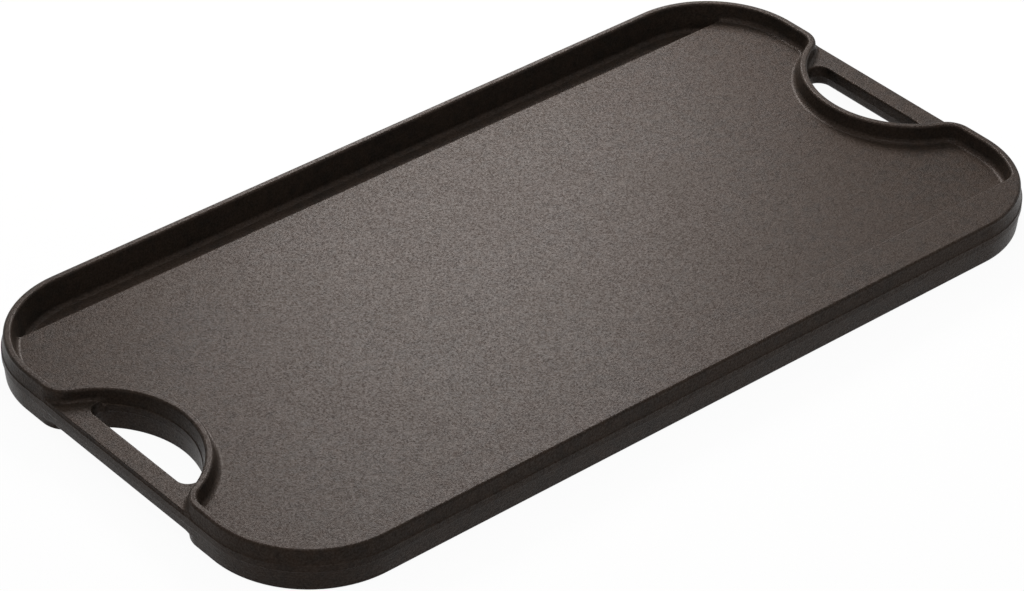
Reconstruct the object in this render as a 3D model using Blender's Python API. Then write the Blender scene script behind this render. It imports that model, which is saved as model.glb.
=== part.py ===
"""Reversible griddle: one iron casting with a smooth side, a ribbed side and two handles.

Metres, +Z up. The smooth side is on top. The origin is on the surface that the griddle
stands on, under the middle of the plate. X runs along the length, from handle to handle.
"""

import math

import bmesh
import bpy
from mathutils import Matrix

# Overall
LENGTH = 0.508
WIDTH = 0.2652
HEIGHT = 0.0236
CORNER_RADIUS = 0.0581

# Rims and outer wall
RIM_THICKNESS = 0.0040
RIM_EDGE_RADIUS = 0.0014
WALL_LEAN = 0.0013
BAND_BOTTOM = 0.0113
BAND_TOP = 0.0158
BAND_STEP = 0.00045
INNER_DRAFT = math.radians(12)
FLOOR_FILLET = 0.0015

# Plate, lands and gutters
TRAY_DEPTH = 0.0090
PLATE_THICKNESS = 0.0054
GUTTER_DEPTH = 0.0153
GUTTER_BAND = 0.0232
STEP_WALL = 0.0043
STEP_DRAFT = math.radians(10)
STEP_EDGE_RADIUS = 0.0014
LAND_CORNER_RADIUS = 0.0090
GUTTER_CORNER_RADIUS = 0.0045

# Scallops and handles
SCALLOP_INSET = 0.0387
SCALLOP_HALF_SPAN = 0.0606
SHOULDER_RADIUS = 0.0159
HANDLE_WIDTH = 0.0110
HANDLE_BOTTOM = 0.0052
HANDLE_TOP = 0.0173
HANDLE_SETBACK = 0.0008
HANDLE_DRAFT = math.radians(10)
HANDLE_EDGE_RADIUS = 0.0012
HANDLE_ROOT = 0.0045
HANDLE_RUN_IN = 0.0040
HANDLE_TUCK = 0.0008
HOLE_CORNER_RADIUS = 0.0060

# Ribs on the lower side
RIB_COUNT = 16
RIB_HEIGHT = 0.0046
RIB_WIDTH = 0.0062
RIB_TIP_WIDTH = 0.0034
RIB_MARGIN = 0.0085
RIB_END_GAP = 0.0100
RIB_END_SLOPE = 0.0040

# How finely arcs are cut, the most of a corner that a fillet takes, the overlaps
# that keep the faces of a cut apart, and the angles that count as an edge
CORNER_STEPS = 11
SHOULDER_STEPS = 5
SCALLOP_STEPS = 14
FILLET_STEPS = 3
FILLET_SHARE = 0.45
OVERLAP = 0.0010
HAIR = 0.00004
HANDLE_EDGE_STEPS = 2
HANDLE_EDGE_ANGLE = math.radians(50)
SHARP_ANGLE = math.radians(35)

HALF_LENGTH = LENGTH / 2
HALF_WIDTH = WIDTH / 2
CORNER_X = HALF_LENGTH - CORNER_RADIUS
CORNER_Y = HALF_WIDTH - CORNER_RADIUS
SHOULDER_X = HALF_LENGTH - SHOULDER_RADIUS
APEX_X = HALF_LENGTH - SCALLOP_INSET
GUTTER_EDGE = HALF_WIDTH - GUTTER_BAND
RIBBED_DEPTH = HEIGHT - TRAY_DEPTH - PLATE_THICKNESS

IRON_COLOUR = (0.040, 0.034, 0.031, 1.0)
IRON_ROUGHNESS = 0.5


def clear_scene():
    for obj in list(bpy.data.objects):
        bpy.data.objects.remove(obj, do_unlink=True)


def scallop_radius():
    """Radius of the arc that touches both shoulders and passes through the apex."""
    reach = APEX_X - SHOULDER_X
    rise = reach**2 + SCALLOP_HALF_SPAN**2 - SHOULDER_RADIUS**2
    return rise / (2 * (SHOULDER_RADIUS - reach))


def scallop_centre_x():
    return APEX_X + scallop_radius()


def arc(centre_x, centre_y, radius, start, end, steps):
    """Points of an arc, both ends included. Angles are in radians."""
    return [
        (
            centre_x + radius * math.cos(start + (end - start) * i / steps),
            centre_y + radius * math.sin(start + (end - start) * i / steps),
        )
        for i in range(steps + 1)
    ]


def end_points(inset):
    """The shoulders and the scallop of the right end, from front to back, moved in by inset."""
    centre_x = scallop_centre_x()
    turn = math.atan2(SCALLOP_HALF_SPAN, centre_x - SHOULDER_X)
    shoulder = SHOULDER_RADIUS - inset
    front = arc(SHOULDER_X, -SCALLOP_HALF_SPAN, shoulder, 0, turn, SHOULDER_STEPS)
    hollow = arc(
        centre_x,
        0,
        scallop_radius() + inset,
        math.pi + turn,
        math.pi - turn,
        SCALLOP_STEPS,
    )
    back = arc(SHOULDER_X, SCALLOP_HALF_SPAN, shoulder, -turn, 0, SHOULDER_STEPS)
    return front + hollow[1:-1] + back


def with_mirror(right_half):
    """A closed outline from its right half, given from front to back."""
    return right_half + [(-x, y) for x, y in reversed(right_half)]


def full_outline(inset):
    """The outline of the whole griddle in plan, moved in by inset."""
    radius = CORNER_RADIUS - inset
    front = arc(CORNER_X, -CORNER_Y, radius, -math.pi / 2, 0, CORNER_STEPS)
    back = arc(CORNER_X, CORNER_Y, radius, 0, math.pi / 2, CORNER_STEPS)
    return with_mirror(front + end_points(inset) + back)


def line_fillet(inset, line_y, centre_y, radius):
    """A fillet from the line at line_y into the right corner round centre_y, and where it ends on it."""
    room = CORNER_RADIUS - inset - (line_y - centre_y)
    radius = min(radius, FILLET_SHARE * room)
    rise = line_y + radius - centre_y
    run = math.sqrt((CORNER_RADIUS - inset - radius) ** 2 - rise**2)
    angle = math.atan2(rise, run)
    centre = (CORNER_X + run, line_y + radius)
    return arc(*centre, radius, -math.pi / 2, angle, FILLET_STEPS), angle


def gutter_outline(inset, edge_y, radius):
    """The gutter in plan: the strip behind the line at edge_y, inside the rim."""
    fillet, angle = line_fillet(inset, edge_y, CORNER_Y, radius)
    rim = arc(
        CORNER_X, CORNER_Y, CORNER_RADIUS - inset, angle, math.pi / 2, CORNER_STEPS
    )
    return with_mirror(fillet + rim[1:])


def tray_outline(inset, land_y, radius):
    """The tray in plan: all that lies behind the land, whose face is at -land_y, inside the rim."""
    corner = CORNER_RADIUS - inset
    fillet, angle = line_fillet(inset, -land_y, -CORNER_Y, radius)
    front = arc(CORNER_X, -CORNER_Y, corner, angle, 0, CORNER_STEPS)
    back = arc(CORNER_X, CORNER_Y, corner, 0, math.pi / 2, CORNER_STEPS)
    return with_mirror(fillet + front[1:] + end_points(inset) + back)


def loft(name, outlines, heights):
    """One closed body through outlines of the same number of points, from the bottom up."""
    bm = bmesh.new()
    rings = [
        [bm.verts.new((x, y, z)) for x, y in outline]
        for outline, z in zip(outlines, heights)
    ]
    count = len(rings[0])
    for lower, upper in zip(rings[:-1], rings[1:]):
        for i in range(count):
            j = (i + 1) % count
            bm.faces.new((lower[i], lower[j], upper[j], upper[i]))
    bm.faces.new(list(reversed(rings[0])))
    bm.faces.new(rings[-1])
    return finished_object(name, bm)


def finished_object(name, bm):
    bmesh.ops.recalc_face_normals(bm, faces=bm.faces)
    mesh = bpy.data.meshes.new(name)
    bm.to_mesh(mesh)
    bm.free()
    obj = bpy.data.objects.new(name, mesh)
    bpy.context.scene.collection.objects.link(obj)
    return obj


def as_cutter(obj):
    obj.hide_render = True
    obj.display_type = "WIRE"
    return obj


def add_boolean(obj, other, operation):
    modifier = obj.modifiers.new(f"{operation.lower()} {other.name}", "BOOLEAN")
    modifier.operation = operation
    modifier.solver = "EXACT"
    modifier.object = other


def wall_inset(depth):
    """How far the inner face of a rim lies inside the outline, at a depth below the rim's top."""
    return WALL_LEAN + RIM_THICKNESS + depth * math.tan(INNER_DRAFT)


def land_edge(floor_depth):
    """Where a land's face meets its top, so that one wall is left between tray and gutter."""
    lean = (floor_depth + PLATE_THICKNESS) * math.tan(STEP_DRAFT)
    return GUTTER_EDGE + lean - STEP_WALL


def floor_levels(depth, radius):
    """(depth, how far inside the wall) up the fillet round a floor."""
    turns = [math.pi / 2 * i / FILLET_STEPS for i in range(FILLET_STEPS + 1)]
    return [
        (depth - radius * (1 - math.cos(turn)), radius * (1 - math.sin(turn)))
        for turn in turns
    ]


def mouth_levels(radius):
    """(depth, how far outside the wall) where a hollow's wall rounds over to the face above, and past it."""
    turns = [math.pi / 2 * i / FILLET_STEPS for i in range(FILLET_STEPS)]
    rounded = [
        (radius * (1 - math.sin(turn)), radius * (1 - math.cos(turn)))
        for turn in turns
    ]
    return rounded + [(-HAIR, radius), (-OVERLAP, radius)]


def tray_cutter(name, floor_depth):
    """The space over a tray's floor, inside the rim and behind the land."""
    outlines, heights = [], []

    def level(depth, inset, land_y):
        radius = LAND_CORNER_RADIUS - inset + wall_inset(0)
        outlines.append(tray_outline(inset, land_y, radius))
        heights.append(HEIGHT - depth)

    def land_line(depth):
        return land_edge(floor_depth) - depth * math.tan(STEP_DRAFT)

    for depth, inside in floor_levels(floor_depth, FLOOR_FILLET):
        level(depth, wall_inset(depth) + inside, land_line(depth) - inside)
    start = RIM_EDGE_RADIUS
    for depth, outside in mouth_levels(RIM_EDGE_RADIUS):
        level(depth, wall_inset(start) - outside, land_line(start) + outside)
    return as_cutter(loft(name, outlines, heights))


def gutter_cutter(name, floor_depth):
    """The gutter behind a tray's floor. Its upper end lies in the tray, a hair inside the wall."""
    outlines, heights = [], []

    def level(depth, inset, edge_y, radius):
        outlines.append(gutter_outline(inset, edge_y, radius))
        heights.append(HEIGHT - depth)

    def edge_line(depth):
        return GUTTER_EDGE + (depth - floor_depth) * math.tan(STEP_DRAFT)

    for depth, inside in floor_levels(GUTTER_DEPTH, FLOOR_FILLET):
        radius = GUTTER_CORNER_RADIUS - inside
        level(depth, wall_inset(depth) + inside, edge_line(depth) + inside, radius)
    for depth, outside in mouth_levels(STEP_EDGE_RADIUS)[:-1]:
        deep = floor_depth + depth
        edge = edge_line(floor_depth + STEP_EDGE_RADIUS) - outside
        level(deep, wall_inset(deep), edge, GUTTER_CORNER_RADIUS)
    top = floor_depth - FLOOR_FILLET - OVERLAP
    edge = edge_line(floor_depth + STEP_EDGE_RADIUS) - STEP_EDGE_RADIUS
    level(top, wall_inset(top) + HAIR, edge, GUTTER_CORNER_RADIUS)
    return as_cutter(loft(name, outlines, heights))


def turned_over(obj):
    """Moves a cutter from the smooth side to the ribbed one: half a turn about the length."""
    flip = Matrix.Translation((0, 0, HEIGHT)) @ Matrix.Rotation(math.pi, 4, "X")
    obj.data.transform(flip)
    return obj


def rib_reach(y):
    """Half the length of the rib at y, which stops short of the rim or the scallop."""
    inset = wall_inset(RIBBED_DEPTH) + RIB_END_GAP
    reach = HALF_LENGTH - inset
    radius = scallop_radius() + inset
    if abs(y) < radius:
        hollow = scallop_centre_x() - math.sqrt(radius**2 - y**2)
        reach = min(reach, max(hollow, APEX_X - inset))
    beyond = abs(y) - CORNER_Y
    if beyond > 0:
        corner = CORNER_RADIUS - inset
        reach = min(reach, CORNER_X + math.sqrt(max(corner**2 - beyond**2, 0)))
    return reach


def add_rib(bm, y):
    """One tapered bar with sloping ends, hanging from the plate."""
    tip = RIBBED_DEPTH - RIB_HEIGHT
    reach = rib_reach(y)
    corners = []
    for z, half_width, half_reach in (
        (tip, RIB_TIP_WIDTH / 2, reach - RIB_END_SLOPE),
        (RIBBED_DEPTH + OVERLAP, RIB_WIDTH / 2, reach),
    ):
        for sx, sy in ((-1, -1), (1, -1), (1, 1), (-1, 1)):
            corners.append(bm.verts.new((sx * half_reach, y + sy * half_width, z)))
    low, high = corners[:4], corners[4:]
    bm.faces.new(list(reversed(low)))
    bm.faces.new(high)
    for i in range(4):
        j = (i + 1) % 4
        bm.faces.new((low[i], low[j], high[j], high[i]))


def rib_lines():
    """The ribs' places across the griddle, between the lower side's gutter and its land."""
    first = RIB_MARGIN - GUTTER_EDGE
    land_foot = land_edge(RIBBED_DEPTH) - RIBBED_DEPTH * math.tan(STEP_DRAFT)
    last = land_foot - RIB_MARGIN
    return [first + (last - first) * i / (RIB_COUNT - 1) for i in range(RIB_COUNT)]


def ribs():
    bm = bmesh.new()
    for y in rib_lines():
        add_rib(bm, y)
    return as_cutter(finished_object("rib_bars", bm))


def outer_body():
    """The solid that all hollows are cut from: drafted walls, a band at mid height, rounded rims."""
    pairs = []
    for i in range(FILLET_STEPS + 1):
        turn = math.pi / 2 * i / FILLET_STEPS
        inset = WALL_LEAN + RIM_EDGE_RADIUS * (1 - math.sin(turn))
        pairs.append((RIM_EDGE_RADIUS * (1 - math.cos(turn)), inset))
    pairs.append((BAND_BOTTOM, BAND_STEP))
    pairs.append((BAND_BOTTOM + BAND_STEP, 0))
    pairs.append((BAND_TOP - BAND_STEP, 0))
    pairs.append((BAND_TOP, BAND_STEP))
    for i in range(FILLET_STEPS, -1, -1):
        turn = math.pi / 2 * i / FILLET_STEPS
        inset = WALL_LEAN + RIM_EDGE_RADIUS * (1 - math.sin(turn))
        pairs.append((HEIGHT - RIM_EDGE_RADIUS * (1 - math.cos(turn)), inset))
    outlines = [full_outline(inset) for _, inset in pairs]
    return loft("griddle_casting", outlines, [z for z, _ in pairs])


def handle_face():
    """The x of the right handle's outer face."""
    return HALF_LENGTH - HANDLE_SETBACK


def finger_hole_outline(z):
    """The hole between a handle and its scallop, at a height. It bites a little into the wall."""
    bar_x = handle_face() - HANDLE_WIDTH + (HANDLE_TOP - z) * math.tan(HANDLE_DRAFT)
    radius = scallop_radius() + OVERLAP
    centre_x = scallop_centre_x()
    x = bar_x - HOLE_CORNER_RADIUS
    y = math.sqrt((radius - HOLE_CORNER_RADIUS) ** 2 - (centre_x - x) ** 2)
    turn = math.atan2(y, x - centre_x)
    full = 2 * math.pi
    back = arc(x, y, HOLE_CORNER_RADIUS, 0, turn, SHOULDER_STEPS)
    hollow = arc(centre_x, 0, radius, turn, full - turn, SCALLOP_STEPS)
    front = arc(x, -y, HOLE_CORNER_RADIUS, full - turn, full, SHOULDER_STEPS)
    return back + hollow[1:-1] + front


def handle_outline():
    """The handle in plan, before its hole: its ends and its back lie inside the body's wall."""
    outer_x = handle_face()
    half = SCALLOP_HALF_SPAN
    straight = half - HANDLE_RUN_IN
    front_end = [(outer_x - HANDLE_TUCK, -half), (outer_x, -straight)]
    back_end = [(outer_x, straight), (outer_x - HANDLE_TUCK, half)]
    root = [(x, y) for x, y in end_points(HANDLE_ROOT) if abs(y) < half]
    return back_end + list(reversed(root)) + front_end


def handle(name, side):
    """One handle, at the end where x has this sign, with its finger hole cut and its edges rounded."""
    plan = handle_outline()
    block = loft(name, [plan, plan], [HANDLE_BOTTOM, HANDLE_TOP])
    cut = [HANDLE_BOTTOM - OVERLAP, HANDLE_TOP + OVERLAP]
    hole = loft(f"{name}_hole", [finger_hole_outline(z) for z in cut], cut)
    if side < 0:
        for obj in (block, hole):
            obj.data.transform(Matrix.Rotation(math.pi, 4, "Z"))
    add_boolean(block, as_cutter(hole), "DIFFERENCE")
    bevel = block.modifiers.new("rounded edges", "BEVEL")
    bevel.width = HANDLE_EDGE_RADIUS
    bevel.segments = HANDLE_EDGE_STEPS
    bevel.limit_method = "ANGLE"
    bevel.angle_limit = HANDLE_EDGE_ANGLE
    return as_cutter(block)


def iron_material():
    material = bpy.data.materials.new("seasoned_cast_iron")
    material.use_nodes = True
    shader = material.node_tree.nodes["Principled BSDF"]
    shader.inputs["Base Color"].default_value = IRON_COLOUR
    shader.inputs["Roughness"].default_value = IRON_ROUGHNESS
    shader.inputs["Metallic"].default_value = 0.0
    return material


def build_griddle():
    body = outer_body()
    ribbed_tray = turned_over(tray_cutter("ribbed_tray", RIBBED_DEPTH))
    add_boolean(ribbed_tray, ribs(), "DIFFERENCE")
    hollows = (
        tray_cutter("smooth_tray", TRAY_DEPTH),
        gutter_cutter("smooth_gutter", TRAY_DEPTH),
        ribbed_tray,
        turned_over(gutter_cutter("ribbed_gutter", RIBBED_DEPTH)),
    )
    for hollow in hollows:
        add_boolean(body, hollow, "DIFFERENCE")
    for name, side in (("right_handle", 1), ("left_handle", -1)):
        add_boolean(body, handle(name, side), "UNION")
    body.data.materials.append(iron_material())
    body.data.shade_smooth()
    body.data.set_sharp_from_angle(angle=SHARP_ANGLE)


clear_scene()
build_griddle()
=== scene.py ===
import math

import bpy
import numpy as np
from mathutils import Matrix, Vector
from mathutils.geometry import delaunay_2d_cdt


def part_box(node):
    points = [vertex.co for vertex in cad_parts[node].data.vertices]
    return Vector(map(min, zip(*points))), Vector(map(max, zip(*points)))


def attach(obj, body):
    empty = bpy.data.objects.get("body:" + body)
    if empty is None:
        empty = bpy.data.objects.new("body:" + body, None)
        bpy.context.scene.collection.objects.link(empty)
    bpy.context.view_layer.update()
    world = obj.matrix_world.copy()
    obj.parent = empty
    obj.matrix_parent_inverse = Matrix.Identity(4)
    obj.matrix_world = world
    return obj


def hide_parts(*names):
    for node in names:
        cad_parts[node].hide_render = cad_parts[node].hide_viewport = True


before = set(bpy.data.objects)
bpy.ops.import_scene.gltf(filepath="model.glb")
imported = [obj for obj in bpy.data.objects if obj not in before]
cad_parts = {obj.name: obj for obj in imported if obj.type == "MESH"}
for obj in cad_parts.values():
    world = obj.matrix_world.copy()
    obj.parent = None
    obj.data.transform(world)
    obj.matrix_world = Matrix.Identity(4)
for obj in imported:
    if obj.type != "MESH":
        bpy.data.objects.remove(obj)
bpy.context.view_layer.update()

# Lengths are in millimetres up to the point where a mesh or an object is made
mm = 0.001
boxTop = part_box("griddle_casting")[1]
halfLength = boxTop.x / mm
halfWidth = boxTop.y / mm
height = boxTop.z / mm

# The casting. Each side is worked out looking down on it, and the underside is turned over
casting = {
    "cornerRadius": 58.1,
    "rimThickness": 4.0,
    "rimRadius": 1.4,
    "wallLean": 1.3,
    "bandStep": 0.45,
    "innerDraft": math.tan(math.radians(12)),
    "floorFillet": 3.1,
    "gutterDepth": 15.3,
    "gutterBand": 23.2,  # from the back edge to the tray's edge
    "stepDraft": math.tan(math.radians(10)),
    "stepWall": 4.3,
    "plateThickness": 5.4,
    "lipRadius": 1.4,
    "landCorner": 9.0,
    "scallopInset": 38.7,
    "scallopHalfSpan": 60.6,
    "shoulderRadius": 15.9,
}

handle = {
    "width": 12.5,
    "holeMeeting": 11.5,  # where the two halves of the mould meet in the finger hole
    "rootFillet": 2.2,
    "rootFade": 4.0,  # the length over which that fillet runs out at the face
    "holeCorner": 6.0,
    "endDrop": 2.0,  # how steeply its own top falls away past the hole's corners
}

ribs = {
    "count": 16,
    "height": 4.6,
    "width": 6.2,
    "tipWidth": 3.4,
    "margin": 8.5,
    "endGap": 10.0,
    "endSlope": 4.0,
    "tipRadius": 1.0,
    "rootFillet": 1.0,
    "endRadius": 2.0,
}

# What differs between the two sides, with heights measured from the other side
smoothSide = {
    "floorDepth": 9.0,
    "bandHeight": 15.8,
    "handleHeight": 17.3,
    "handleEdge": 0.4,
    "holeEdge": 0.9,
    "holeDraft": math.tan(math.radians(5)),
    "ribbed": False,
}
ribbedSide = {
    "floorDepth": 9.2,
    "bandHeight": 12.3,
    "handleHeight": 18.4,
    "handleEdge": 1.7,
    "holeEdge": 3.0,
    "holeDraft": math.tan(math.radians(10)),
    "ribbed": True,
}

# How finely the mesh is cut across its rows
rowSteps = {
    "arc": 7,  # rows across a rounded edge or a fillet
    "band": 3,  # rows across the edge of the parting band
    "trayWall": 0.45,
    "outerWall": 0.12,
    "handleWall": 0.09,
    "gutterWall": 0.2,
    "lipWall": 0.25,
    "besideEdge": 0.7,  # from the last row of a rounding to one on the flat beside it
    "besideLip": 0.6,
    "besideRib": 0.25,
    "leastGap": 0.04,  # of two rows round the tray that lie closer, one is left out
    "ribEnd": (-6.5, -5.6, -5, -4.6, -4.2, -3.8, -3.2, -2.4, -1.6, -0.8, 0, 0.6, 1.2, 2.0),
    "handleTop": (3.4, 4.4, 5.6),  # from the handle's outer face
    "besideHole": (0.06, 0.14, 0.25, 0.4, 0.6, 0.85, 1.0, 1.3, 1.7, 2.3, 3.0, 4.0, 5.2),
    "besideRoot": (0.12, 3.0, 18),  # the first, the last and how many
}

# How far apart the points of a row are
pointSteps = {
    "arcRadius": 50.0,  # steps along arcs hold for this radius, so that all rows have the same
    "arcLeast": 3,  # steps in the shortest arc
    "arc": 1.3,
    "line": 12.0,
    "end": 3.0,  # along the ends of the griddle and their shoulders
    "corner": 4.0,  # round the land's corners and the finger holes'
    "gutterEnd": 0.35,
    "gutterEndFrom": -3,  # from the gutter's edge, where the shorter steps begin and stop
    "gutterEndTo": 5,
    "lipEnd": 0.6,
    "lipEndLength": 8,
    "lipEndGap": 0.15,
    "rib": 24.0,
    "hole": 1.5,
    "face": 1.0,
}

# Loose points: their grid, and how far they keep from the rows
loosePoints = {
    "grid": 9.0,
    "fromTrayEdge": 8,
    "fromLip": 6,
    "landFromTray": 4,
    "landFromOutline": 7,
    "fromWall": 0.05,
    "fromHole": 0.04,
    "fromHandleEnd": 0.5,
}

cornerX = halfLength - casting["cornerRadius"]
cornerY = halfWidth - casting["cornerRadius"]
shoulderX = halfLength - casting["shoulderRadius"]
rimInset = casting["wallLean"] + casting["rimThickness"]
gutterEdge = halfWidth - casting["gutterBand"]


def scallopShape():
    # Radius and centre of the arc that touches both shoulders, and the shoulders' turn
    apexX = halfLength - casting["scallopInset"]
    reach = apexX - shoulderX
    rise = reach**2 + casting["scallopHalfSpan"] ** 2 - casting["shoulderRadius"] ** 2
    radius = rise / (2 * (casting["shoulderRadius"] - reach))
    centreX = apexX + radius
    return radius, centreX, math.atan2(casting["scallopHalfSpan"], centreX - shoulderX)


scallopRadius, scallopX, shoulderTurn = scallopShape()


def wallDistance(x, y):
    # How far a point lies inside the outline, negative outside
    ax, ay = np.abs(x), np.abs(y)
    qx, qy = ax - cornerX, ay - cornerY
    outside = np.hypot(np.maximum(qx, 0), np.maximum(qy, 0))
    box = casting["cornerRadius"] - outside - np.minimum(np.maximum(qx, qy), 0)
    hollow = np.hypot(ax - scallopX, ay) - scallopRadius
    sx, sy = ax - shoulderX, ay - casting["scallopHalfSpan"]
    inShoulder = (sx >= 0) & (sy <= 0) & (np.arctan2(-sy, sx) <= shoulderTurn)
    shoulder = casting["shoulderRadius"] - np.hypot(sx, sy)
    beside = ay >= casting["scallopHalfSpan"]
    rest = np.where(beside & (sx > 0), box, np.minimum(box, hollow))
    return np.where(inShoulder, shoulder, rest)


def landLine(side):
    # Where the land ends, a wall's thickness past the other side's gutter
    lean = (side["floorDepth"] + casting["plateThickness"]) * casting["stepDraft"]
    return -(gutterEdge + lean - casting["stepWall"])


def landFillet(side):
    # Centre of the rounded corner where the land meets the rim
    radius = casting["landCorner"]
    y = landLine(side) + radius
    reach = casting["cornerRadius"] - rimInset - radius
    return cornerX + math.sqrt(reach**2 - (y + cornerY) ** 2), y


def trayDistance(x, y, side):
    # How far a point lies inside the top edge of the tray's wall
    fx, fy = landFillet(side)
    px, py = np.abs(x) - fx, y - fy
    outward = (fx - cornerX) * py - (fy + cornerY) * px
    rounded = casting["landCorner"] - np.hypot(px, py)
    straight = np.minimum(wallDistance(x, y) - rimInset, y - landLine(side))
    return np.where((px > 0) & (outward < 0), rounded, straight)


def tangentRun(slope, radius):
    # From the corner of a steep wall and a flat to where an arc of this radius ends
    return radius * math.tan((math.pi / 2 - math.atan(slope)) / 2)


def roundedEdge(u, top, slope, radius):
    # Height of a flat that ends at u = 0 and rounds over into a steep wall
    run = tangentRun(slope, radius)
    wallStart = run * math.sin(math.atan(slope))
    arc = top - radius + np.sqrt(np.maximum(radius**2 - (u + run) ** 2, 0))
    wall = top - u / slope
    return np.where(u < -run, top, np.where(u < wallStart, arc, wall))


def filletedFoot(z, u, top, slope, floor, radius):
    # The same wall, whose height is z, running out through a fillet into a floor
    foot = (top - floor) * slope
    run = tangentRun(slope, radius)
    centre = foot + run
    arcStart = foot - run * math.sin(math.atan(slope))
    arc = floor + radius - np.sqrt(np.maximum(radius**2 - (centre - u) ** 2, 0))
    return np.where(u < arcStart, z, np.where(u < centre, arc, floor))


def outerProfile(d, side):
    # The outer wall and the rim's outer edge: parting band, leaning wall, rounded top. Outside
    # the outline the height falls off steeply, though not for points a rounding error outside
    outsideSlope, error = 50, 0.01
    lean, step, radius = casting["wallLean"], casting["bandStep"], casting["rimRadius"]
    band = side["bandHeight"]
    slope = wallSlope(side)
    below = band - step + np.where(d < -error, outsideSlope * d, np.maximum(d, 0))
    wall = band + (d - step) / slope
    arc = height - radius + np.sqrt(np.maximum(radius**2 - (lean + radius - d) ** 2, 0))
    z = np.where(d < step, below, np.where(d < lean, wall, arc))
    return np.where(d < lean + radius, z, height)


def wallSlope(side):
    # How far the outer wall leans in for each millimetre that it rises over the band
    run = casting["wallLean"] - casting["bandStep"]
    return run / (height - casting["rimRadius"] - side["bandHeight"])


def floorProfile(y, side):
    # The tray's floor and, behind its edge, the gutter
    top = height - side["floorDepth"]
    u = y - gutterEdge
    z = roundedEdge(u, top, casting["stepDraft"], casting["lipRadius"])
    floor = height - casting["gutterDepth"]
    return filletedFoot(z, u, top, casting["stepDraft"], floor, casting["floorFillet"])


def ribLines(side):
    # The middle lines of the ribs, between the land's foot and the gutter's edge
    landFoot = landLine(side) + side["floorDepth"] * casting["stepDraft"]
    return np.linspace(landFoot + ribs["margin"], gutterEdge - ribs["margin"], ribs["count"])


def ribReach(y, side):
    # Half the length of a rib, which stops short of the rim or the scallop
    inset = rimInset + side["floorDepth"] * casting["innerDraft"] + ribs["endGap"]
    radius = scallopRadius + inset
    hollow = scallopX - np.sqrt(np.maximum(radius**2 - y**2, 0))
    hollow = np.maximum(hollow, halfLength - casting["scallopInset"] - inset)
    straight = halfLength - inset
    reach = np.where(np.abs(y) < radius, np.minimum(straight, hollow), straight)
    beyond = np.maximum(np.abs(y) - cornerY, 0)
    corner = casting["cornerRadius"] - inset
    return np.minimum(reach, cornerX + np.sqrt(np.maximum(corner**2 - beyond**2, 0)))


def ribProfile(x, y, side):
    # The height of the ribbed floor: the nearest rib's side and end, whichever is lower
    lines = ribLines(side)
    pitch = lines[1] - lines[0]
    nearest = np.clip(np.round((y - lines[0]) / pitch), 0, ribs["count"] - 1)
    line = lines[0] + nearest * pitch
    floor = height - side["floorDepth"]
    tip = floor + ribs["height"]
    sideSlope = (ribs["width"] - ribs["tipWidth"]) / 2 / ribs["height"]
    endSlope = ribs["endSlope"] / ribs["height"]
    u = np.abs(y - line) - ribs["tipWidth"] / 2
    flank = roundedEdge(u, tip, sideSlope, ribs["tipRadius"])
    flank = filletedFoot(flank, u, tip, sideSlope, floor, ribs["rootFillet"])
    u = np.abs(x) - (ribReach(line, side) - ribs["endSlope"])
    end = roundedEdge(u, tip, endSlope, ribs["endRadius"])
    end = filletedFoot(end, u, tip, endSlope, floor, ribs["endRadius"])
    return np.minimum(flank, end)


def smoothStep(t):
    t = np.clip(t, 0, 1)
    return t * t * (3 - 2 * t)


def holeCentre():
    # Centre of the rounded corner of a finger hole, at the back
    x = halfLength - handle["width"] - handle["holeCorner"]
    return x, math.sqrt((scallopRadius - handle["holeCorner"]) ** 2 - (scallopX - x) ** 2)


def holeDistance(x, y):
    # How far a point lies from the finger hole, inside the iron
    cx, cy = holeCentre()
    ax, ay = np.abs(x), np.abs(y)
    bar = ax - cx - handle["holeCorner"]
    corner = np.hypot(ax - cx, ay - cy) - handle["holeCorner"]
    wall = np.hypot(ax - scallopX, ay) - scallopRadius
    turn = math.atan2(cy, cx - scallopX)
    angle = np.arctan2(ay - cy, ax - cx)
    inCorner = (angle >= 0) & (angle <= turn)
    return np.where(inCorner, corner, np.where((ay < cy) & (ax > cx), bar, wall))


def handleEdgeSpot(side):
    # How far the handle's top edge lies inside its face
    return casting["bandStep"] + (side["handleHeight"] - side["bandHeight"]) * wallSlope(side)


def pastHole(x, y):
    # How far along the scallop's wall a point lies past the end of the hole's corner
    cx, cy = holeCentre()
    turn = math.atan2(cy, scallopX - cx) - np.arctan2(np.abs(y), scallopX - np.abs(x))
    return np.maximum(turn, 0) * scallopRadius


def handleProfile(x, y, side):
    # The height of a handle's own top. Its face goes on from the wall, with the parting band
    top, draft = side["handleHeight"], side["holeDraft"]
    d = halfLength - np.abs(x)
    outer = roundedEdge(handleEdgeSpot(side) - d, top, wallSlope(side), side["handleEdge"])
    outer = np.where(d < casting["bandStep"], outerProfile(d, side), outer)
    meeting = handle["holeMeeting"]
    if side["ribbed"]:
        meeting = height - meeting
    hole = holeDistance(x, y)
    inner = roundedEdge((top - meeting) * draft - hole, top, draft, side["holeEdge"])
    inHole = (np.abs(y) < holeCentre()[1]) & (np.abs(x) > holeCentre()[0])
    return np.minimum(outer, inner) - np.where(inHole, 0, handle["endDrop"] * pastHole(x, y))


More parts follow.
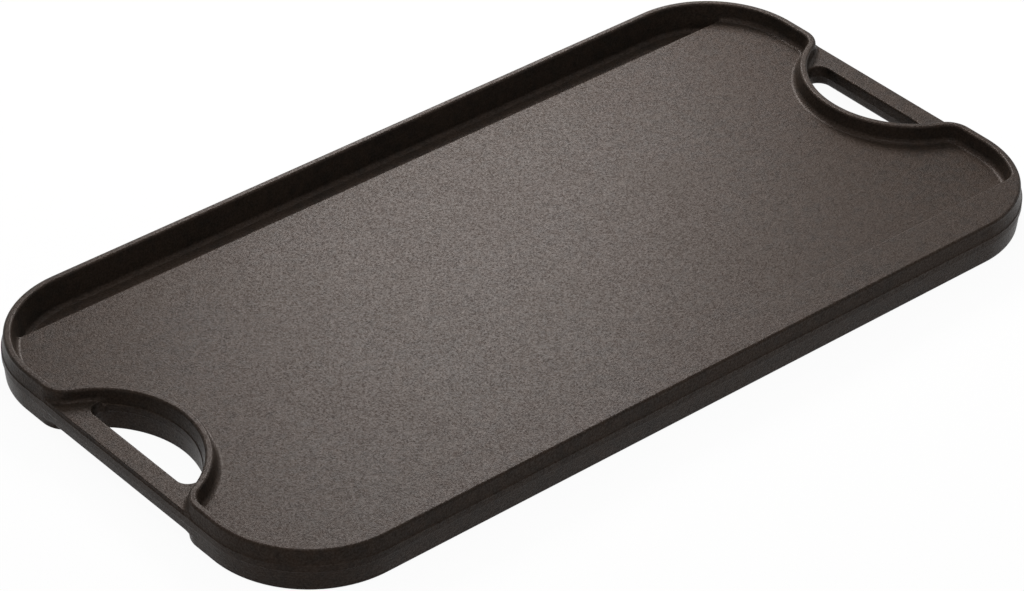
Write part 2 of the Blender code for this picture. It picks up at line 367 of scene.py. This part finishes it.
def surfaceHeight(x, y, side):
    # One whole side: the outer wall and the handles, cut down to the tray, its ribs and its gutter
    d = wallDistance(x, y)
    floor = floorProfile(y, side)
    if side["ribbed"]:
        floor = np.where(y < gutterEdge - ribs["margin"] / 2, ribProfile(x, y, side), floor)
    e = trayDistance(x, y, side)
    draft = casting["innerDraft"]
    tray = roundedEdge(e, height, draft, casting["rimRadius"])
    tray = filletedFoot(tray, e, height, draft, floor, casting["floorFillet"])
    body = outerProfile(d, side)
    # The handle's top runs up into the wall through a fillet
    grip = handleProfile(x, y, side)
    top = height - casting["rimRadius"]
    u = casting["wallLean"] - d
    root = filletedFoot(body, u, top, wallSlope(side), grip, handle["rootFillet"])
    fade = smoothStep((casting["scallopHalfSpan"] - np.abs(y)) / handle["rootFade"])
    bare = np.maximum(body, grip)
    gripped = bare + fade * (np.maximum(root, bare) - bare)
    nearHandle = (np.abs(y) < casting["scallopHalfSpan"]) & (d < casting["wallLean"])
    return np.minimum(np.where(nearHandle, gripped, body), tray)


# Where the rows of the mesh run, measured from the edge of each wall
def edgeRows(slope, radius):
    turns = np.linspace(0, math.pi / 2 - math.atan(slope), rowSteps["arc"])
    return -tangentRun(slope, radius) + radius * np.sin(turns)


def footRows(depth, slope, radius):
    turns = np.linspace(math.pi / 2 - math.atan(slope), 0, rowSteps["arc"])
    return depth * slope + tangentRun(slope, radius) - radius * np.sin(turns)


def spread(start, end, step):
    # Evenly spaced values with both ends, no further apart than the step
    count = max(int(math.ceil((end - start) / step)), 1)
    return np.linspace(start, end, count + 1)


def arcPoints(cx, cy, radius, start, end, step=None):
    # The angles are the same for every row, so the rows lie side by side
    length = abs(end - start) * pointSteps["arcRadius"]
    count = max(int(math.ceil(length / (step or pointSteps["arc"]))), pointSteps["arcLeast"])
    turns = np.linspace(start, end, count + 1)
    return np.column_stack([cx + radius * np.cos(turns), cy + radius * np.sin(turns)])


def linePoints(start, end, step=None):
    length = math.dist(start, end)
    count = max(int(round(length / (step or pointSteps["line"]))), 1)
    share = np.linspace(0, 1, count + 1)[:, None]
    return np.array(start) * (1 - share) + np.array(end) * share


def joined(*runs):
    # Runs of points that follow on: each starts where the one before it ends
    points = [runs[0]]
    for run in runs[1:]:
        points.append(run[1:])
    return np.vstack(points)


def endPoints(inset):
    # The shoulders and the scallop of the right end, from front to back
    span, step = casting["scallopHalfSpan"], pointSteps["end"]
    shoulder, hollow = casting["shoulderRadius"] - inset, scallopRadius + inset
    return joined(
        arcPoints(shoulderX, -span, shoulder, 0, shoulderTurn, step),
        arcPoints(scallopX, 0, hollow, math.pi + shoulderTurn, math.pi - shoulderTurn),
        arcPoints(shoulderX, span, shoulder, -shoulderTurn, 0, step),
    )


def closedOutline(rightHalf):
    # A half, its mirror image, and the long straight sides between them
    mirrored = rightHalf[::-1] * [-1, 1]
    across = linePoints(tuple(rightHalf[-1]), tuple(mirrored[0]))[1:-1]
    back = linePoints(tuple(mirrored[-1]), tuple(rightHalf[0]))[1:-1]
    return np.vstack([rightHalf, across, mirrored, back])


def outlineRow(inset):
    radius = casting["cornerRadius"] - inset
    side = halfLength - inset
    span = casting["scallopHalfSpan"]
    return closedOutline(joined(
        arcPoints(cornerX, -cornerY, radius, -math.pi / 2, 0),
        linePoints((side, -cornerY), (side, -span), pointSteps["end"]),
        endPoints(inset),
        linePoints((side, span), (side, cornerY), pointSteps["end"]),
        arcPoints(cornerX, cornerY, radius, 0, math.pi / 2),
    ))


def trayRow(e, side):
    # A row round the tray, with short steps where the gutter's edge runs into the rim
    inset = rimInset + e
    radius = casting["cornerRadius"] - inset
    fx, fy = landFillet(side)
    turn = math.atan2(fy + cornerY, fx - cornerX)
    low = math.asin((gutterEdge + pointSteps["gutterEndFrom"] - cornerY) / radius)
    high = math.asin((gutterEdge + pointSteps["gutterEndTo"] - cornerY) / radius)
    x = halfLength - inset
    span = casting["scallopHalfSpan"]
    return closedOutline(joined(
        arcPoints(fx, fy, casting["landCorner"] - e, -math.pi / 2, turn, pointSteps["corner"]),
        arcPoints(cornerX, -cornerY, radius, turn, 0),
        linePoints((x, -cornerY), (x, -span), pointSteps["end"]),
        endPoints(inset),
        linePoints((x, span), (x, cornerY), pointSteps["end"]),
        arcPoints(cornerX, cornerY, radius, 0, low),
        arcPoints(cornerX, cornerY, radius, low, high, pointSteps["gutterEnd"]),
        arcPoints(cornerX, cornerY, radius, high, math.pi / 2),
    ))


def bandRows():
    # Rows across the edge of the parting band, up to its foot
    step, count = casting["bandStep"], rowSteps["band"]
    return np.linspace(step / count, step, count)


def wallRows():
    # Rows from the outline to the rim's flat top
    step, lean, radius = casting["bandStep"], casting["wallLean"], casting["rimRadius"]
    turns = np.linspace(0, math.pi / 2, rowSteps["arc"])
    rounded = lean + radius * (1 - np.cos(turns))
    wall = spread(step, lean, rowSteps["outerWall"])[1:-1]
    onTop = lean + radius + rowSteps["besideEdge"]
    return np.concatenate([bandRows(), wall, rounded, [onTop]])


def trayRows(side):
    draft, fillet = casting["innerDraft"], casting["floorFillet"]
    edge = edgeRows(draft, casting["rimRadius"])
    foot = footRows(side["floorDepth"], draft, fillet)
    gutterFoot = footRows(casting["gutterDepth"], draft, fillet)
    wall = spread(edge[-1], foot[0], rowSteps["trayWall"])[1:-1]
    between = spread(foot[-1], gutterFoot[-1], rowSteps["gutterWall"])[1:]
    onFloor = gutterFoot[-1] + rowSteps["besideEdge"]
    rows = np.concatenate([edge, wall, foot, gutterFoot, between, [onFloor]])
    rows = np.unique(np.round(rows, 3))
    return rows[np.concatenate([[True], np.diff(rows) > rowSteps["leastGap"]])]


def lipRows(side):
    draft = casting["stepDraft"]
    depth = casting["gutterDepth"] - side["floorDepth"]
    edge = edgeRows(draft, casting["lipRadius"])
    foot = footRows(depth, draft, casting["floorFillet"])
    wall = spread(edge[-1], foot[0], rowSteps["lipWall"])[1:-1]
    beside = rowSteps["besideLip"]
    return np.concatenate([[edge[0] - beside], edge, wall, foot, [foot[-1] + beside]])


def lipRow(y, last):
    # From rim to rim, ending just inside the last row round the tray
    room = casting["cornerRadius"] - rimInset - last - pointSteps["lipEndGap"]
    end = cornerX + math.sqrt(room**2 - (y - cornerY) ** 2)
    fineFrom = end - pointSteps["lipEndLength"]
    fine = linePoints((fineFrom, y), (end, y), pointSteps["lipEnd"])
    middle = linePoints((-fineFrom, y), (fineFrom, y))
    return joined(fine[::-1] * [-1, 1], middle, fine)


def ribRow(y, line, side):
    # A line along a rib, with short steps where the rib's ends slope down
    end = float(ribReach(np.array([line]), side)[0])
    xs = end + np.array(rowSteps["ribEnd"])
    middle = linePoints((-xs[0], y), (xs[0], y), pointSteps["rib"])
    right = np.column_stack([xs, np.full(len(xs), y)])
    return joined(right[::-1] * [-1, 1], middle, right)


def ribRowOffsets():
    # Rows over a rib, from its middle line, with every second row of its roundings
    slope = (ribs["width"] - ribs["tipWidth"]) / 2 / ribs["height"]
    edge = ribs["tipWidth"] / 2 + edgeRows(slope, ribs["tipRadius"])[::2]
    foot = ribs["tipWidth"] / 2 + footRows(ribs["height"], slope, ribs["rootFillet"])[::2]
    half = np.concatenate([[0.0], edge, foot, [foot[-1] + rowSteps["besideRib"]]])
    return np.concatenate([-half[:0:-1], half])


def holeBar(row):
    # A line beside the handle's inner face and round the hole's corners, this far from the hole
    cx, cy = holeCentre()
    turn = math.atan2(cy, cx - scallopX)
    corner = handle["holeCorner"] + row
    return joined(
        arcPoints(cx, -cy, corner, -turn, 0, pointSteps["corner"]),
        linePoints((cx + corner, -cy), (cx + corner, cy), pointSteps["hole"]),
        arcPoints(cx, cy, corner, 0, turn, pointSteps["corner"]),
    )


def faceLine(row):
    # A line along the handle, this far inside its outer face
    x, span = halfLength - row, casting["scallopHalfSpan"]
    return linePoints((x, -span), (x, span), pointSteps["face"])


def handleSpots(side):
    # Loose points on the right handle: rows beside its faces and round its roots
    step, edge = casting["bandStep"], handleEdgeSpot(side)
    rounded = edge - edgeRows(wallSlope(side), side["handleEdge"])
    wall = spread(step, rounded.min(), rowSteps["handleWall"])
    faceRows = np.concatenate([bandRows()[:-1], wall, rounded, rowSteps["handleTop"]])
    spots = [faceLine(row) for row in np.unique(np.round(faceRows, 2))]
    spots += [holeBar(row) for row in rowSteps["besideHole"]]
    spots += [endPoints(-row) for row in np.linspace(*rowSteps["besideRoot"])]
    spots = np.vstack(spots)
    x, y = spots[:, 0], spots[:, 1]
    clear = wallDistance(x, y) < -loosePoints["fromWall"]
    clear &= holeDistance(x, y) > loosePoints["fromHole"]
    clear &= np.abs(y) < casting["scallopHalfSpan"] - loosePoints["fromHandleEnd"]
    return spots[clear]


def flatSpots(side):
    # A loose grid over the floors and the land, clear of all rows
    across = spread(-halfLength, halfLength, loosePoints["grid"])
    along = spread(-halfWidth, halfWidth, loosePoints["grid"])
    x, y = (values.ravel() for values in np.meshgrid(across, along))
    e, d = trayDistance(x, y, side), wallDistance(x, y)
    onFloor = e > loosePoints["fromTrayEdge"]
    onFloor &= np.abs(y - gutterEdge) > loosePoints["fromLip"]
    if side["ribbed"]:
        onFloor &= y > gutterEdge
    onLand = (e < -loosePoints["landFromTray"]) & (d > loosePoints["landFromOutline"])
    keep = onFloor | onLand
    return np.column_stack([x[keep], y[keep]])


def planPoints(side):
    # All points of one side, and the pairs of them that have to be joined by an edge
    points, pairs = [], []

    def add(run, closed=False, linked=True):
        start = sum(map(len, points))
        points.append(run)
        if linked:
            pairs.extend((start + i, start + i + 1) for i in range(len(run) - 1))
        if linked and closed:
            pairs.append((start + len(run) - 1, start))

    add(outlineRow(0), closed=True)
    for run in (faceLine(0), holeBar(0)):
        add(run)
        add(run * [-1, 1])
    for inset in wallRows():
        add(outlineRow(inset), closed=True)
    rows = trayRows(side)
    for e in rows:
        add(trayRow(e, side), closed=True)
    for rise in lipRows(side):
        add(lipRow(gutterEdge + rise, rows[-1]))
    if side["ribbed"]:
        for line in ribLines(side):
            for offset in ribRowOffsets():
                add(ribRow(line + offset, line, side))
    for spots in (handleSpots(side), flatSpots(side)):
        add(spots, linked=False)
        if len(spots) and spots[:, 0].min() > 0:
            add(spots * [-1, 1], linked=False)
    return np.vstack(points), pairs


def insideIron(x, y):
    ax, ay = np.abs(x), np.abs(y)
    inScallop = (ay < casting["scallopHalfSpan"]) & (ax > scallopX - scallopRadius)
    grip = inScallop & (ax < halfLength) & (holeDistance(x, y) > 0)
    return (wallDistance(x, y) > 0) | grip


def triangulated(side):
    # The plan of one side in triangles, without those outside the iron or without any area
    everything, nearness, leastArea = 0, 1e-5, 1e-9
    points, pairs = planPoints(side)
    points = [Vector(p) for p in points]
    flat, _, faces, _, _, _ = delaunay_2d_cdt(points, pairs, [], everything, nearness)
    xy = np.array([tuple(p) for p in flat])
    tris = np.array(faces)
    centre = xy[tris].mean(axis=1)
    corner = xy[tris]
    a, b = corner[:, 1] - corner[:, 0], corner[:, 2] - corner[:, 0]
    area = a[:, 0] * b[:, 1] - a[:, 1] * b[:, 0]
    return xy, tris[insideIron(centre[:, 0], centre[:, 1]) & (np.abs(area) > leastArea)]


def surfaceNormals(x, y, side):
    # From the slopes of the surface itself, which are smoother than the triangles
    gap = 0.004
    dx = (surfaceHeight(x + gap, y, side) - surfaceHeight(x - gap, y, side)) / (2 * gap)
    dy = (surfaceHeight(x, y + gap, side) - surfaceHeight(x, y - gap, side)) / (2 * gap)
    normals = np.column_stack([-dx, -dy, np.ones(len(x))])
    return normals / np.linalg.norm(normals, axis=1, keepdims=True)


def boundaryEdges(tris):
    # Edges that only one triangle uses, running round the iron with it on the left
    edges = np.vstack([tris[:, [0, 1]], tris[:, [1, 2]], tris[:, [2, 0]]])
    ends = np.sort(edges, axis=1)
    _, index, counts = np.unique(ends, axis=0, return_index=True, return_counts=True)
    return edges[index[counts == 1]]


def outwardNormals(xy, edges):
    # At each point of the boundary, level and away from the iron
    along = xy[edges[:, 1]] - xy[edges[:, 0]]
    along /= np.linalg.norm(along, axis=1, keepdims=True)
    across = np.column_stack([along[:, 1], -along[:, 0]])
    total = np.zeros((len(xy), 2))
    np.add.at(total, edges[:, 0], across)
    np.add.at(total, edges[:, 1], across)
    length = np.linalg.norm(total, axis=1, keepdims=True)
    length[length == 0] = 1  # points off the boundary
    return np.column_stack([total / length, np.zeros(len(xy))])


def sideMesh(side):
    # One side of the casting: points, faces, normals and boundary, in the griddle's own frame
    xy, tris = triangulated(side)
    used, tris = np.unique(tris, return_inverse=True)
    tris = tris.reshape(-1, 3)
    xy = xy[used]
    x, y = xy[:, 0], xy[:, 1]
    z = surfaceHeight(x, y, side)
    normals = surfaceNormals(x, y, side)
    if side["ribbed"]:
        xy, z = xy * [1, -1], height - z
        normals = normals * [1, -1, -1]
    edges = boundaryEdges(tris)
    if side["ribbed"]:
        edges = edges[:, ::-1]
    return np.column_stack([xy, z]), tris, normals, edges


def matchedPoints(points, others):
    # For each of these boundary points, the other side's point over or under it
    found, tolerance = [], 0.002
    for point in points:
        gaps = np.hypot(others[:, 0] - point[0], others[:, 1] - point[1])
        nearest = int(gaps.argmin())
        if gaps[nearest] > tolerance:
            raise ValueError("the two sides of the casting don't meet")
        found.append(nearest)
    return np.array(found)


def castingMesh():
    # Both sides, joined by a narrow upright band along the mould's parting
    topPoints, topTris, topNormals, edges = sideMesh(smoothSide)
    lowPoints, lowTris, lowNormals, lowEdges = sideMesh(ribbedSide)
    rim, lowRim = np.unique(edges), np.unique(lowEdges)
    partner = np.zeros(len(topPoints), int)
    partner[rim] = lowRim[matchedPoints(topPoints[rim], lowPoints[lowRim])] + len(topPoints)
    outward = outwardNormals(topPoints[:, :2], edges)
    start, end = edges[:, 0], edges[:, 1]
    bandQuads = np.column_stack([end, start, partner[start], partner[end]])
    bandNormals = outward[bandQuads[:, [0, 1, 1, 0]]].reshape(-1, 3)
    points = np.vstack([topPoints, lowPoints]) * mm
    tris = np.vstack([topTris, lowTris + len(topPoints)])
    mesh = bpy.data.meshes.new("griddleCasting")
    mesh.from_pydata(points.tolist(), [], tris.tolist() + bandQuads.tolist())
    mesh.update()
    normals = np.vstack([np.vstack([topNormals, lowNormals])[tris.ravel()], bandNormals])
    mesh.polygons.foreach_set("use_smooth", np.ones(len(mesh.polygons), bool))
    mesh.normals_split_custom_set(normals.tolist())
    return mesh


griddle = bpy.data.objects.new("griddle_body", castingMesh())
bpy.context.scene.collection.objects.link(griddle)
print("casting:", len(griddle.data.polygons), "faces")


def newGroup(name, inputs, outputs):
    # An empty shader group: inputs are (name, socket type, value), outputs (name, socket type)
    group = bpy.data.node_groups.new(name, "ShaderNodeTree")
    for label, kind, value in inputs:
        socket = group.interface.new_socket(name=label, in_out="INPUT", socket_type=kind)
        socket.default_value = value
    for label, kind in outputs:
        group.interface.new_socket(name=label, in_out="OUTPUT", socket_type=kind)
    return group, group.nodes.new("NodeGroupInput"), group.nodes.new("NodeGroupOutput")


def addNode(tree, kind, values=None, **settings):
    # A node with these values on its inputs and these settings of its own
    node = tree.nodes.new(kind)
    for name, value in settings.items():
        setattr(node, name, value)
    for name, value in (values or {}).items():
        node.inputs[name].default_value = value
    return node


def addMath(tree, operation, first, second, clamp=False):
    node = addNode(tree, "ShaderNodeMath", operation=operation, use_clamp=clamp)
    for socket, value in zip(node.inputs, (first, second)):
        if isinstance(value, (int, float)):
            socket.default_value = value
        else:
            tree.links.new(value, socket)
    return node.outputs[0]


def addNoise(tree, place, scale, detail=2.0, roughness=0.5):
    node = addNode(tree, "ShaderNodeTexNoise", {"Detail": detail, "Roughness": roughness})
    tree.links.new(place, node.inputs["Vector"])
    if isinstance(scale, (int, float)):
        node.inputs["Scale"].default_value = scale
    else:
        tree.links.new(scale, node.inputs["Scale"])
    return node.outputs["Fac"]


# The grain's make-up, the same wherever its group is placed
grainShape = {
    "pebbleDetail": 3.0,
    "pebbleRoughness": 0.68,
    "swellScale": 60.0,
    "swellDetail": 1.0,
    "crest": 0.66,  # pebbles above this are no hollow at all, those under the next one wholly
    "hollow": 0.34,
}


def sandGrainGroup():
    # The skin that moulding sand leaves: pebbles of all sizes and broad unevenness
    floats = "NodeSocketFloat"
    group, given, result = newGroup(
        "sandGrain",
        [
            ("Pebble Scale", floats, 450.0),
            ("Pebble Depth", floats, 1.0),
            ("Swell Depth", floats, 1.0),
        ],
        [("Height", floats), ("Hollows", floats)],
    )
    place = addNode(group, "ShaderNodeTexCoord").outputs["Object"]
    detail, roughness = grainShape["pebbleDetail"], grainShape["pebbleRoughness"]
    pebbles = addNoise(group, place, given.outputs["Pebble Scale"], detail, roughness)
    swell = addNoise(group, place, grainShape["swellScale"], grainShape["swellDetail"])
    fine = addMath(group, "MULTIPLY", pebbles, given.outputs["Pebble Depth"])
    broad = addMath(group, "MULTIPLY", swell, given.outputs["Swell Depth"])
    group.links.new(addMath(group, "ADD", fine, broad), result.inputs["Height"])
    # Hollows marks the low pebbles, where the seasoning paints shade into the colour and its film
    # runs thin
    limits = {"From Min": grainShape["crest"], "From Max": grainShape["hollow"]}
    hollows = addNode(group, "ShaderNodeMapRange", limits)
    group.links.new(pebbles, hollows.inputs["Value"])
    group.links.new(hollows.outputs["Result"], result.inputs["Hollows"])
    return group


# The same for the seasoning: slow drifts, and specks that are finer
seasoningShape = {
    "driftDetail": 2.0,
    "driftRoughness": 0.6,
    "driftShare": 0.45,
    "speckScale": 12.0,  # times the patches' own
    "speckShare": 0.55,
    "coolBelow": 0.36,
    "warmAbove": 0.56,
}


def seasoningAndShadeGroup():
    # Baked-on oil: slow drifts between a warm and a cool tone, and between drier and glossier,
    # painted shade that darkens the colour in the hollows of the grain, and a glossy film on its
    # crests
    floats, colour = "NodeSocketFloat", "NodeSocketColor"
    group, given, result = newGroup(
        "seasoningAndPaintedShade",
        [
            ("Warm", colour, (0.03, 0.025, 0.022, 1)),
            ("Cool", colour, (0.02, 0.02, 0.021, 1)),
            ("Patch Scale", floats, 14.0),
            ("Hollows", floats, 0.5),
            # How dark the painted shade in the grain's hollows makes the colour
            ("Painted Hollow Shade", floats, 0.6),
            ("Roughness", floats, 0.42),
            ("Roughness Range", floats, 0.1),
            ("Film", floats, 0.2),
        ],
        [("Color", colour), ("Roughness", floats), ("Film", floats)],
    )
    place = addNode(group, "ShaderNodeTexCoord").outputs["Object"]
    patches = given.outputs["Patch Scale"]
    detail, roughness = seasoningShape["driftDetail"], seasoningShape["driftRoughness"]
    drift = addNoise(group, place, patches, detail, roughness)
    finer = addMath(group, "MULTIPLY", patches, seasoningShape["speckScale"])
    specks = addNoise(group, place, finer)
    broad = addMath(group, "MULTIPLY", drift, seasoningShape["driftShare"])
    fine = addMath(group, "MULTIPLY", specks, seasoningShape["speckShare"])
    limits = {"From Min": seasoningShape["coolBelow"], "From Max": seasoningShape["warmAbove"]}
    span = addNode(group, "ShaderNodeMapRange", limits)
    group.links.new(addMath(group, "ADD", broad, fine), span.inputs["Value"])
    tone = addNode(group, "ShaderNodeMix", data_type="RGBA")
    group.links.new(span.outputs["Result"], tone.inputs["Factor"])
    group.links.new(given.outputs["Cool"], tone.inputs["A"])
    group.links.new(given.outputs["Warm"], tone.inputs["B"])
    # Painted shade: the colour is made darker in the hollows of the grain, most where they are
    # deepest
    depth = addNode(group, "ShaderNodeMapRange", {"To Min": 1.0})
    group.links.new(given.outputs["Hollows"], depth.inputs["Value"])
    group.links.new(given.outputs["Painted Hollow Shade"], depth.inputs["To Max"])
    paintedHollowShade = addNode(group, "ShaderNodeVectorMath", operation="SCALE")
    group.links.new(tone.outputs["Result"], paintedHollowShade.inputs[0])
    group.links.new(depth.outputs["Result"], paintedHollowShade.inputs["Scale"])
    group.links.new(paintedHollowShade.outputs[0], result.inputs["Color"])
    crests = addMath(group, "SUBTRACT", 1.0, given.outputs["Hollows"], clamp=True)
    film = addMath(group, "MULTIPLY", crests, given.outputs["Film"])
    group.links.new(film, result.inputs["Film"])
    offMiddle = addMath(group, "SUBTRACT", drift, 0.5)
    change = addMath(group, "MULTIPLY", offMiddle, given.outputs["Roughness Range"])
    changed = addMath(group, "ADD", given.outputs["Roughness"], change)
    group.links.new(changed, result.inputs["Roughness"])
    return group


iron = {
    "Warm": (0.0306, 0.0220, 0.0164, 1),
    "Cool": (0.0186, 0.0153, 0.0124, 1),
    "Patch Scale": 16.0,
    # How dark the painted shade in the grain's hollows makes the colour
    "Painted Hollow Shade": 0.65,
    "Roughness": 0.365,
    "Roughness Range": 0.2,
    "Film": 0.18,
    "filmRoughness": 0.365,
    "Pebble Scale": 1000.0,
    "Pebble Depth": 0.9,
    "Swell Depth": 0.35,
    "bumpDistance": 0.0004,
    "specularLevel": 0.05,
    "sheenTint": (1.0, 0.50, 0.34, 1),  # old oil reflects a little brown
}


def placedGroup(tree, group):
    # A group in the material, with the iron's values on those inputs that carry their names
    node = addNode(tree, "ShaderNodeGroup", node_tree=group)
    for socket in node.inputs:
        if socket.name in iron:
            socket.default_value = iron[socket.name]
    return node


def seasonedIron():
    material = bpy.data.materials.new("seasonedIron")
    material.use_nodes = True
    tree = material.node_tree
    shader = tree.nodes["Principled BSDF"]
    shader.inputs["Specular IOR Level"].default_value = iron["specularLevel"]
    shader.inputs["Specular Tint"].default_value = iron["sheenTint"]
    grain = placedGroup(tree, sandGrainGroup())
    seasoningAndPaintedShade = placedGroup(tree, seasoningAndShadeGroup())
    # The grain's hollows set where painted shade darkens the colour and where the film is thin
    tree.links.new(grain.outputs["Hollows"], seasoningAndPaintedShade.inputs["Hollows"])
    tree.links.new(seasoningAndPaintedShade.outputs["Color"], shader.inputs["Base Color"])
    tree.links.new(seasoningAndPaintedShade.outputs["Roughness"], shader.inputs["Roughness"])
    tree.links.new(seasoningAndPaintedShade.outputs["Film"], shader.inputs["Coat Weight"])
    shader.inputs["Coat Roughness"].default_value = iron["filmRoughness"]
    bump = addNode(tree, "ShaderNodeBump", {"Distance": iron["bumpDistance"]})
    tree.links.new(grain.outputs["Height"], bump.inputs["Height"])
    tree.links.new(bump.outputs["Normal"], shader.inputs["Normal"])
    return material


griddle.data.materials.append(seasonedIron())
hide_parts("griddle_casting")
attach(griddle, "root")
print("iron: done")

# The floor, with its lengths in metres
floorSheet = {
    "halfSize": 4.0,
    "drop": 0.0002,  # clear of the griddle's lower rim
    "tone": (0.90, 0.90, 0.90, 1),
    "roughness": 0.9,
    "whiteShare": 0.95,
}


def whiteRays(tree):
    # 1 for what the camera sees directly, in a mirror or through glass
    path = addNode(tree, "ShaderNodeLightPath")
    seen = addMath(tree, "MAXIMUM", path.outputs["Is Camera Ray"], path.outputs["Is Glossy Ray"])
    return addMath(tree, "MAXIMUM", seen, path.outputs["Is Transmission Ray"])


def paleFloor():
    half = floorSheet["halfSize"]
    corners = [(-half, -half), (half, -half), (half, half), (-half, half)]
    mesh = bpy.data.meshes.new("floorSheet")
    mesh.from_pydata([(x, y, -floorSheet["drop"]) for x, y in corners], [], [(0, 1, 2, 3)])
    floor = bpy.data.objects.new("floor_sheet", mesh)
    bpy.context.scene.collection.objects.link(floor)
    material = bpy.data.materials.new("paleFloor")
    material.use_nodes = True
    tree = material.node_tree
    shader = tree.nodes["Principled BSDF"]
    shader.inputs["Base Color"].default_value = floorSheet["tone"]
    shader.inputs["Roughness"].default_value = floorSheet["roughness"]
    # Mostly plain white to the camera, with a share of the lit floor that keeps the shadow
    white = addNode(tree, "ShaderNodeEmission", {"Color": (1, 1, 1, 1), "Strength": 1.0})
    mix = addNode(tree, "ShaderNodeMixShader")
    share = addMath(tree, "MULTIPLY", whiteRays(tree), floorSheet["whiteShare"])
    tree.links.new(share, mix.inputs[0])
    tree.links.new(shader.outputs[0], mix.inputs[1])
    tree.links.new(white.outputs[0], mix.inputs[2])
    # Clear from below, so that the griddle's underside can be looked at
    clear = addNode(tree, "ShaderNodeBsdfTransparent")
    below = addNode(tree, "ShaderNodeNewGeometry").outputs["Backfacing"]
    sheet = addNode(tree, "ShaderNodeMixShader")
    tree.links.new(below, sheet.inputs[0])
    tree.links.new(mix.outputs[0], sheet.inputs[1])
    tree.links.new(clear.outputs[0], sheet.inputs[2])
    tree.links.new(sheet.outputs[0], tree.nodes["Material Output"].inputs["Surface"])
    mesh.materials.append(material)
    return floor


paleFloor()

# The lamps, in degrees, metres and watts: azimuth 0 is in front of the griddle and grows
# towards its right end. The first gives the sheen on the smooth side
lamps = [
    {
        "name": "backBox",
        "azimuth": 142.6,
        "elevation": 35.5,
        "distance": 1.1,
        "size": (0.36, 0.36),
        "power": 11.2,
        "tone": (1.0, 0.96, 0.93),
    },
    {
        "name": "upperBox",
        "azimuth": 140.0,
        "elevation": 60.0,
        "distance": 1.5,
        "size": (0.5, 0.5),
        "power": 3.5,
        "tone": (1.0, 1.0, 1.0),
    },
    {
        "name": "topBox",
        "azimuth": -41.0,
        "elevation": 72.0,
        "distance": 1.5,
        "size": (0.8, 0.8),
        "power": 6.5,
        "tone": (1.0, 1.0, 1.0),
    },
]
surround = {"tone": (1.0, 1.0, 1.0, 1), "strength": 0.2}


def awayFrom(azimuth, elevation):
    # The direction from the griddle towards a lamp or the camera
    turn, rise = math.radians(azimuth), math.radians(elevation)
    level = math.cos(rise)
    return Vector((math.sin(turn) * level, -math.cos(turn) * level, math.sin(rise)))


def addLamp(values):
    light = bpy.data.lights.new(values["name"], "AREA")
    light.shape = "RECTANGLE"
    light.size, light.size_y = values["size"]
    light.energy = values["power"]
    light.color = values["tone"]
    lamp = bpy.data.objects.new(values["name"], light)
    away = awayFrom(values["azimuth"], values["elevation"])
    lamp.location = away * values["distance"]
    lamp.rotation_mode = "QUATERNION"
    lamp.rotation_quaternion = away.to_track_quat("Z", "Y")
    bpy.context.scene.collection.objects.link(lamp)


def whiteSurround():
    # An even light from all round, and white where the camera looks past the floor
    world = bpy.data.worlds.new("surround")
    world.use_nodes = True
    tree = world.node_tree
    tree.nodes.clear()
    output = addNode(tree, "ShaderNodeOutputWorld")
    lit = {"Color": surround["tone"], "Strength": surround["strength"]}
    even = addNode(tree, "ShaderNodeBackground", lit)
    white = addNode(tree, "ShaderNodeBackground", {"Color": (1, 1, 1, 1), "Strength": 1.0})
    mix = addNode(tree, "ShaderNodeMixShader")
    tree.links.new(whiteRays(tree), mix.inputs[0])
    tree.links.new(even.outputs[0], mix.inputs[1])
    tree.links.new(white.outputs[0], mix.inputs[2])
    tree.links.new(mix.outputs[0], output.inputs["Surface"])
    bpy.context.scene.world = world


for values in lamps:
    addLamp(values)
whiteSurround()
print("light: done")

# The photograph's camera, in degrees, millimetres and pixels of a 1024 by 591 image
photoCamera = {
    "azimuth": -41.127,
    "elevation": 35.517,
    "roll": 1.127,
    "distance": 2113.868,
    "target": (-8.794, -1.040, 0.0),
    "focalPixels": 4214.69,
    "centre": (513.54, 295.42),
    "image": (1024, 591),
}


def addCamera():
    sensor = 36.0  # its width, in millimetres
    width, tall = photoCamera["image"]
    back = awayFrom(photoCamera["azimuth"], photoCamera["elevation"])
    right = (-back).cross(Vector((0, 0, 1))).normalized()
    up = right.cross(-back)
    roll = math.radians(photoCamera["roll"])
    across = right * math.cos(roll) + up * math.sin(roll)
    upward = up * math.cos(roll) - right * math.sin(roll)
    data = bpy.data.cameras.new("photoCamera")
    data.sensor_width = sensor
    data.lens = photoCamera["focalPixels"] * sensor / width
    data.shift_x = (width / 2 - photoCamera["centre"][0]) / width
    data.shift_y = (photoCamera["centre"][1] - tall / 2) / width
    camera = bpy.data.objects.new("photoCamera", data)
    place = (Vector(photoCamera["target"]) + back * photoCamera["distance"]) * mm
    turned = Matrix((across, upward, back)).transposed().to_4x4()
    camera.matrix_world = Matrix.Translation(place) @ turned
    bpy.context.scene.collection.objects.link(camera)
    bpy.context.scene.camera = camera


addCamera()
bpy.context.scene.view_settings.view_transform = "Standard"
print("camera: done")
